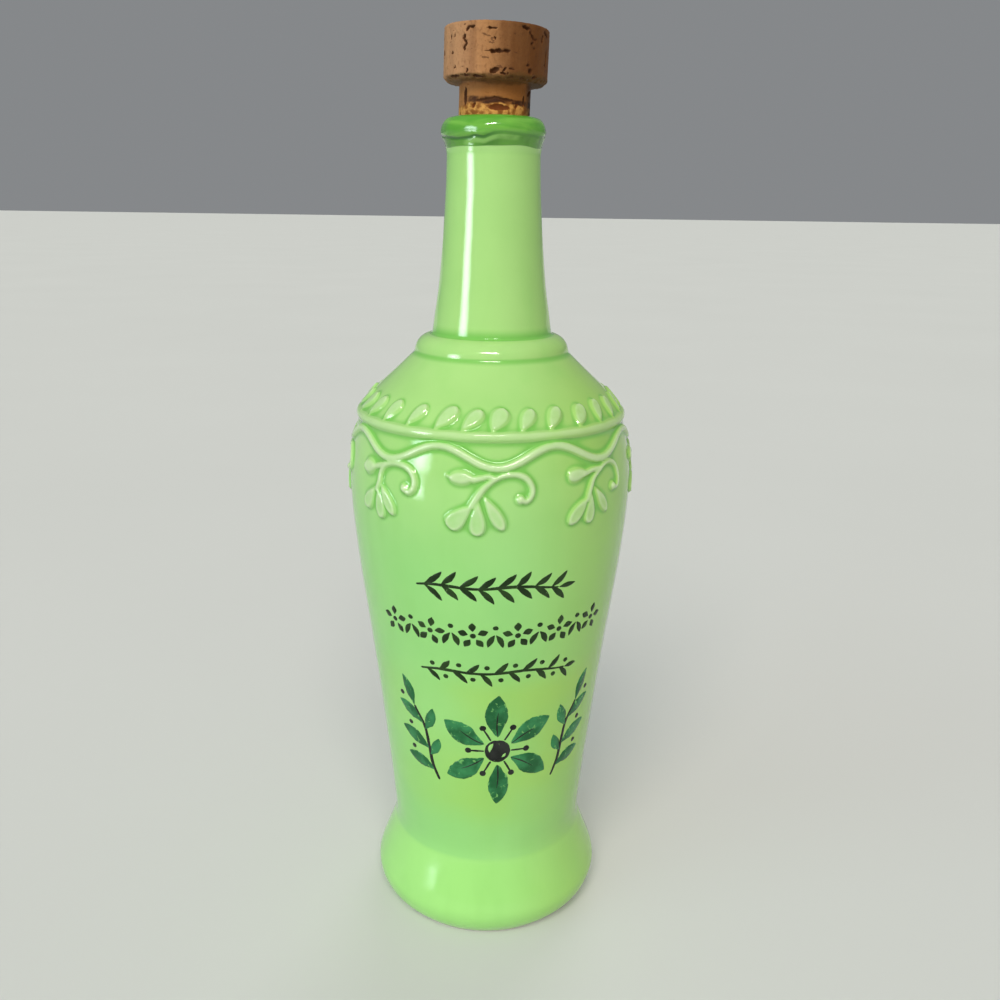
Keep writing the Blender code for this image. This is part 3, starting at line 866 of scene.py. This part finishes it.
def lip_colour(add, place, crease, across):
    """The brushed dark green of the lip: lighter above its crease, streaked below, darkest in the fold with
    painted shade.
    """
    brush = noise(add, place, 60, detail=4, stretch=(1, 1, 5), distortion=0.6)
    upper = mixed(add, ranged(add, brush, 0.35, 0.62), (0.095, 0.330, 0.032), (0.165, 0.430, 0.055))
    strokes = noise(add, place, 130, detail=3, stretch=(1, 1, 0.3))
    lower = mixed(add, ranged(add, strokes, 0.40, 0.60), (0.055, 0.205, 0.014), (0.100, 0.300, 0.030))
    streaks = times(add, band(add, crease, (-2.2, -1.3), (-0.2, -0.8)),
                    ranged(add, noise(add, place, 85), 0.47, 0.60, 0.0, 0.8))
    lower = mixed(add, streaks, lower, (0.26, 0.52, 0.12))
    dark = mixed(add, ranged(add, crease, -0.5, 0.2), lower, upper)
    # Painted shade in the fold under the lip's crease, heavier on the left.
    fold = times(add, band(add, crease, (-0.75, -0.1), (0.6, 0.1)),
                 ranged(add, across, 0.004, -0.005, 0.35, 0.85))
    return mixed(add, fold, dark, (0.022, 0.130, 0.016)), brush


def glaze_material():
    """Lime glaze: paler where it runs thin over the relief, deeper where it pools, with a dark lip, and
    painted light and shade.
    """
    finish, add, wire, place = material("lime_glaze", 0.09)
    finish.node_tree.nodes["Principled BSDF"].inputs["IOR"].default_value = 1.58
    axes = add("ShaderNodeSeparateXYZ", Vector=place).outputs
    height = axes["Z"]
    pool, raised, crease = (attribute(add, name) for name in ("pool", "raised", "crease"))

    cloudy = ranged(add, noise(add, place, 24), 0.35, 0.65)
    # Painted light: the glaze turns warmer from the body up, as under a warm light from above.
    below = mixed(add, cloudy, (0.290, 0.640, 0.188), (0.325, 0.675, 0.208))
    above = mixed(add, cloudy, (0.350, 0.625, 0.190), (0.392, 0.665, 0.215))
    lime = mixed(add, ranged(add, height, 0.130, 0.180), below, above)
    # Painted light: the foot, below the waist, is lighter, as it faces up to the light.
    lime = layered(add, lime, (0.345, 0.705, 0.195), height, 0.0285, 0.0265)
    # Painted shade: the right side is darker and yellower.
    lime = layered(add, lime, (0.330, 0.545, 0.075), axes["X"], 0.004, 0.036, 0.5)
    # A yellowish wash on the front round the rosette, partly paint and partly painted shade, heavier towards
    # the darker right.
    wash_and_right_shade = times(add, band(add, height, (0.036, 0.052), (0.104, 0.092)),
                   ranged(add, axes["Y"], -0.010, -0.024), ranged(add, axes["X"], -0.032, 0.006, 0.35, 1.0),
                   ranged(add, noise(add, place, 34, detail=1), 0.30, 0.65, 0.15, 0.60))
    lime = mixed(add, wash_and_right_shade, lime, (0.358, 0.602, 0.088))
    runs = noise(add, place, 90, stretch=(1, 1, 0.12))
    lime = layered(add, lime, (0.265, 0.590, 0.140), runs, 0.45, 0.75, 0.25)
    lime = layered(add, lime, (0.165, 0.490, 0.075), pool, 0.02, 0.26, 0.85)
    worn = plus(add, raised, swung(add, noise(add, place, 300), 0.5))
    lime = layered(add, lime, (0.515, 0.700, 0.372), worn, 0.45, 1.10, 0.75)
    lime = layered(add, lime, (0.570, 0.730, 0.400), pool, -0.12, -0.50, 0.65)

    dark, brush = lip_colour(add, place, crease, axes["X"])
    wavy = plus(add, height, times(add, noise(add, place, 70, detail=1), 0.0022))
    lip = ranged(add, wavy, 0.25830, 0.25862)
    bare = ranged(add, height, 0.0009, 0.0005)
    bisque = mixed(add, noise(add, place, 1400, detail=2), (0.62, 0.60, 0.46), (0.75, 0.73, 0.60))
    wire(mixed(add, bare, mixed(add, lip, lime, dark), bisque), "Base Color")
    shine = ranged(add, noise(add, place, 55), 0.4, 0.7, 0.07, 0.13)
    wire(plus(add, shine, times(add, bare, 0.5)), "Roughness")
    ripple = bumped(add, noise(add, place, 75, detail=1), 0.00022)
    ripple = bumped(add, noise(add, place, 420, detail=2), 0.00002, Normal=ripple)
    ripple = bumped(add, times(add, raised, noise(add, place, 800, detail=2)), 0.00007, Normal=ripple)
    wire(bumped(add, times(add, lip, brush), 0.0002, Normal=ripple), "Normal")
    return finish


def shank_colour(add, place, axes, cork, level, low):
    """The cork of the shank: orange below, warm brown above, with a wavy dark stain between them, and painted
    shade at its right edge.
    """
    grains = ranged(add, noise(add, place, 500, detail=3), 0.38, 0.58)
    orange = mixed(add, grains, (0.270, 0.090, 0.014), (0.64, 0.300, 0.075))
    warm = mixed(add, 0.6, cork, (0.42, 0.150, 0.028))
    arched = plus(add, level, times(add, axes["X"], axes["X"], 15.0))
    shank = mixed(add, ranged(add, arched, low + 0.0006, low), warm, orange)
    stain = times(add, band(add, arched, (low + 0.0001, low + 0.0007), (low + 0.0024, low + 0.0016)),
                  ranged(add, axes["X"], -0.0088, -0.0066, 0.15, 1.0),
                  ranged(add, noise(add, place, 330, detail=3), 0.36, 0.55, 0.35, 1.0))
    shank = mixed(add, stain, shank, (0.058, 0.017, 0.005))
    # Painted shade along the shank's right edge.
    return layered(add, shank, (0.020, 0.010, 0.005), axes["X"], 0.0085, 0.0105, 0.8)


def cork_material():
    """Natural cork: tan and brown growth bands, dark pits, fine grain, and a stained shank, with painted
    light on its left and painted shade on its right and under its head.
    """
    finish, add, wire, place = material("natural_cork", 0.72, 0.2)
    axes = add("ShaderNodeSeparateXYZ", Vector=place).outputs
    bands = noise(add, place, 260, detail=3, stretch=(1, 1, 0.05), distortion=0.3)
    patches = noise(add, place, 110, detail=4)
    grain = noise(add, place, 1300, detail=4, stretch=(1, 1, 0.6))
    cork = mixed(add, ranged(add, bands, 0.32, 0.66), (0.220, 0.082, 0.024), (0.410, 0.185, 0.070))
    cork = layered(add, cork, (0.46, 0.215, 0.090), patches, 0.45, 0.7, 0.4)
    # Painted light: the cork's left side is paler.
    cork = layered(add, cork, (0.540, 0.290, 0.155), axes["X"], -0.001, -0.013, 0.55)
    # The right side is darker: partly the cork's own colour, partly painted shade.
    cork = layered(add, cork, (0.100, 0.033, 0.005), axes["X"], -0.006, 0.009, 0.84)
    cork = layered(add, cork, (0.125, 0.042, 0.012), grain, 0.52, 0.70, 0.35)
    flecks = noise(add, place, 420, detail=2, stretch=(1, 1, 2.2))
    cork = layered(add, cork, (0.075, 0.024, 0.008), flecks, 0.66, 0.72, 0.7)

    shank_top = (LIP_TOP + HEAD_BASE) * MM
    low = (LIP_TOP + STAIN_HEIGHT) * MM
    level = plus(add, axes["Z"], swung(add, patches, 0.005))
    shank = shank_colour(add, place, axes, cork, level, low)
    cork = layered(add, cork, shank, axes["Z"], shank_top, shank_top - 0.0004)
    # Painted shade under the head's lower edge, on its chamfer and the top of the shank.
    shade_under_head = band(add, level, (shank_top + 0.0019, shank_top + 0.0010),
                   (shank_top - 0.0012, shank_top - 0.0004))
    cork = mixed(add, times(add, shade_under_head, 0.72), cork, (0.105, 0.048, 0.010))
    pitted = plus(add, attribute(add, "pit"), swung(add, grain, 0.5))
    pits = mixed(add, ranged(add, axes["Z"], low, low - 0.0004), (0.078, 0.023, 0.004), (0.150, 0.035, 0.004))
    wire(layered(add, cork, pits, pitted, 0.25, 0.80), "Base Color")
    rough = bumped(add, noise(add, place, 700, detail=4), 0.00022)
    wire(bumped(add, grain, 0.00010, Normal=rough), "Normal")
    return finish


def paint_material(name, dark, light, scratched, amount):
    """Brushed paint under a shine: mottled between two tones, with the glaze showing where it is thin."""
    finish, add, wire, place = material(name, 0.2, 0.25)
    edge = add("ShaderNodeMath", {"operation": "ABSOLUTE"}, _0=attribute(add, "across")).outputs[0]
    tone = mixed(add, ranged(add, noise(add, place, 170, detail=3), 0.35, 0.68), dark, light)
    thin = noise(add, place, 620, detail=4, distortion=0.8)
    worn = plus(add, thin, ranged(add, edge, 0.7, 1.0, 0.0, 0.10))
    wire(layered(add, tone, scratched, worn, amount, amount + 0.1, 0.8), "Base Color")
    wire(bumped(add, thin, 0.00006), "Normal")
    return finish


def toward(angle):
    """The unit vector at an angle."""
    return np.array((math.cos(angle), math.sin(angle)))


def disc(centre, radius):
    """A round mark."""
    shares = np.linspace(-1, 1, 25)
    path = [(centre[0] + radius * share, centre[1]) for share in (-1, 0, 1)]
    return path, tuple(radius * np.sqrt(1 - shares ** 2)), 0


def leaf_mark(base, angle, length, half, bend=0.0):
    """A brushed leaf: a stroke that starts thin, swells, and ends in a point."""
    out = toward(angle)
    aside = np.array((-out[1], out[0]))
    path = [tuple(np.array(base) + out * length * share + aside * bend * 4 * share * (1 - share))
            for share in (0, 0.35, 0.7, 1)]
    return path, tuple(half * np.array(LEAF_MARK_HALVES))


def garland(left, right, height, pairs, leaf, alternate=False):
    """Marks of a gently arched twig: leaves in pairs, or one at a time with a dot across from each."""
    random = np.random.default_rng(pairs)

    def spot(share):
        rise = TWIG_ARCH * (1 - (2 * share - 1) ** 2) + TWIG_WAVE * math.sin(11 * share)
        return left + (right - left) * share, height + rise

    marks = [([spot(share) for share in np.linspace(0, 1, 14)], TWIG_HALVES)]
    for number in range(pairs):
        base = spot((number + 0.5) / pairs)
        for side in (1, -1):
            if alternate and (number % 2 == 0) == (side == 1):
                marks.append(disc((base[0] + 2.2, base[1] + side * 2.3), DOT_RADIUS))
                continue
            angle = side * math.radians(random.uniform(38, 50))
            marks.append(leaf_mark(base, angle, leaf * random.uniform(0.9, 1.1), 1.0, -0.35 * side))
    return marks + [leaf_mark(spot(1), 0.1, 0.8 * leaf, 0.95)]


def flower_row(left, height, width, flowers, drop):
    """Marks of a gently sagging row of small flowers, with two hanging leaves and a dot between each two."""
    random = np.random.default_rng(flowers)
    marks = []
    for number in range(2 * flowers - 1):
        share = 0.5 * number / (flowers - 1)
        spot = np.array((left + width * share, height - drop * (1 - (2 * share - 1) ** 2)))
        if number % 2:
            for side in (1, -1):
                angle = math.radians(side * random.uniform(24, 29) - 90)
                base = spot + (0.2 * side, 0.5)
                marks.append(leaf_mark(base, angle, random.uniform(4.7, 5.1), 1.0, 0.3 * side))
            marks.append(disc(spot + (0, 2.9), DOT_RADIUS))
            continue
        turn = random.uniform(-0.2, 0.2)
        for petal in range(5):
            angle = turn + math.radians(90 + 72 * petal)
            marks.append(leaf_mark(spot + 1.5 * toward(angle), angle, random.uniform(3.0, 3.4), 1.15))
        marks.append(disc(spot, 0.9))
    return marks


def rosette():
    """Marks of the rosette: its petals, their veins, and its stamens round a black middle."""
    petals, veins, stamens = [], [], []
    for number in range(PETALS):
        angle = 2 * math.pi * (number + 0.5) / PETALS
        base = tuple(ROSETTE + PETAL_START * toward(angle))
        petals.append(leaf_mark(base, angle, PETAL_LENGTH, PETAL_HALF, 0.6))
        vein, _ = leaf_mark(base, angle, VEIN_LENGTH, 0, 0.4)
        veins.append((vein, (0.15, 0.38, 0.3, 0.1)))
        out = toward(angle + math.pi / PETALS)
        stamens.append(([tuple(ROSETTE + reach * out) for reach in STAMEN_REACH[:3]], (0.3, 0.4, 0.3)))
        stamens.append(disc(ROSETTE + STAMEN_REACH[3] * out, 1.15))
    return petals, veins, stamens + [disc(ROSETTE, ROSETTE_MIDDLE)]


def sprays():
    """Marks of the leaves, and of the stems and berries, of a spray to each side of the rosette."""
    leaves, stems, berries = [], [], []
    for side in (-1, 1):
        def place(x, y, way=side):
            return ROSETTE[0] + way * x, ROSETTE[1] + y

        stems.append(([place(*spot) for spot in SPRAY_STEM], (0.55, 0.75, 0.7, 0.65, 0.45)))
        for x, y, turn, length, half in SPRAY_LEAVES:
            angle = math.radians(turn if side == 1 else 180 - turn)
            leaves.append(leaf_mark(place(x, y), angle, length, half, 0.5 * side))
        berries += [disc(place(*spot), 0.95) for spot in SPRAY_BERRIES]
    return leaves, stems + berries


def paint_ornament():
    """The brushed ornament on the front: three dark lines, and below them a rosette between two sprays."""
    worn = ((0.14, 0.27, 0.08), 0.66)
    black = paint_material("black_brushwork", (0.008, 0.009, 0.008), (0.024, 0.026, 0.024), *worn)
    lines = paint_material("line_brushwork", (0.008, 0.024, 0.004), (0.020, 0.050, 0.010), *worn)
    green = paint_material("green_brushwork", (0.012, 0.105, 0.032), (0.038, 0.225, 0.080),
                           (0.19, 0.50, 0.14), 0.60)
    pale = paint_material("pale_brushwork", (0.30, 0.60, 0.17), (0.36, 0.68, 0.22), (0.45, 0.72, 0.30), 0.70)
    petals, veins, stamens = rosette()
    leaves, stems = sprays()
    lights = [leaf_mark(ROSETTE + (-2.7, -0.4), 1.25, 3.6, 1.0, 0.4),
              leaf_mark(ROSETTE + (1.5, -2.4), 0.9, 2.0, 0.6, -0.2)]
    painted("ornament_line_top", garland(-21, 20, 130.4, 8, 6.8), lines)
    painted("ornament_line_middle", flower_row(-30.5, 115.4, 65, 6, 0.6), lines)
    painted("ornament_line_low", garland(-22, 25.5, 100.6, 11, 5.8, True), lines)
    painted("rosette_petals", petals, green)
    painted("rosette_stamens", stamens, black)
    painted("spray_leaves", leaves, green)
    painted("spray_stems", stems, black)
    painted("rosette_veins", veins, black, 0.05)
    painted("brush_lights", lights, pale, 0.06)


def panel_light(name, place, size, power, colour, faded):
    """A rectangular light that faces the bottle and shows only as a highlight, with faded edges if asked."""
    lamp = bpy.data.lights.new(name, "AREA")
    lamp.shape = "RECTANGLE"
    lamp.size, lamp.size_y = size
    lamp.energy = power
    lamp.color = colour
    if faded:
        lamp.use_nodes = True
        add = node_adder(lamp.node_tree)
        spot = add("ShaderNodeNewGeometry").outputs["Parametric"]
        axes = add("ShaderNodeSeparateXYZ", Vector=spot).outputs
        ramps = [add("ShaderNodeMath", {"operation": "SINE"}, _0=times(add, axes[axis], math.pi)).outputs[0]
                 for axis in "XY"]
        lamp.node_tree.links.new(times(add, *ramps), lamp.node_tree.nodes["Emission"].inputs["Strength"])
    holder = bpy.data.objects.new(name, lamp)
    holder.location = place
    holder.visible_camera = False
    holder.visible_diffuse = False
    holder.rotation_euler = (Vector(LIT_MIDDLE) - Vector(place)).to_track_quat("-Z", "Y").to_euler()
    bpy.context.scene.collection.objects.link(holder)


def sun_light(name, direction, spread, strength, colour):
    """Even light along one direction, soft over a spread in degrees, that no glossy face mirrors."""
    sun = bpy.data.lights.new(name, "SUN")
    sun.energy = strength
    sun.angle = math.radians(spread)
    sun.color = colour
    holder = bpy.data.objects.new(name, sun)
    holder.visible_glossy = False
    holder.rotation_euler = Vector(direction).to_track_quat("-Z", "Y").to_euler()
    bpy.context.scene.collection.objects.link(holder)


def make_stage():
    """A plain pale floor under soft studio light."""
    finish, add, wire, place = material("pale_floor", 0.55, 0.0)
    wire(mixed(add, noise(add, place, 3), (0.61, 0.61, 0.60), (0.64, 0.64, 0.63)), "Base Color")
    bpy.ops.mesh.primitive_plane_add(size=FLOOR_SIZE)
    floor = bpy.context.object
    floor.name = "floor"
    floor.data.materials.append(finish)
    world = bpy.data.worlds.new("studio")
    world.use_nodes = True
    world.node_tree.nodes["Background"].inputs["Color"].default_value = SURROUNDINGS
    world.node_tree.nodes["Background"].inputs["Strength"].default_value = SURROUNDINGS_STRENGTH
    bpy.context.scene.world = world
    for panel in PANELS:
        panel_light(*panel)
    for sun in SUNS:
        sun_light(*sun)


def make_camera():
    """The camera at the photograph's place and angle."""
    forward_flat = Vector((-math.sin(CAMERA_YAW), math.cos(CAMERA_YAW), 0))
    forward = forward_flat * math.cos(CAMERA_PITCH) - Vector((0, 0, math.sin(CAMERA_PITCH)))
    level = forward.cross(Vector((0, 0, 1))).normalized()
    upright = level.cross(forward)
    right = level * math.cos(CAMERA_ROLL) + upright * math.sin(CAMERA_ROLL)
    up = upright * math.cos(CAMERA_ROLL) - level * math.sin(CAMERA_ROLL)
    data = bpy.data.cameras.new("camera")
    data.lens = CAMERA_LENS
    data.clip_start = 0.01
    camera = bpy.data.objects.new("camera", data)
    turn = Matrix((right, up, -forward)).transposed().to_4x4()
    camera.matrix_world = Matrix.Translation(Vector(CAMERA_PLACE) * MM) @ turn
    bpy.context.scene.collection.objects.link(camera)
    bpy.context.scene.camera = camera


make_stage()
make_camera()
make_bottle(glaze_material())
make_stopper(cork_material())
paint_ornament()
bpy.context.scene.view_settings.view_transform = "Standard"
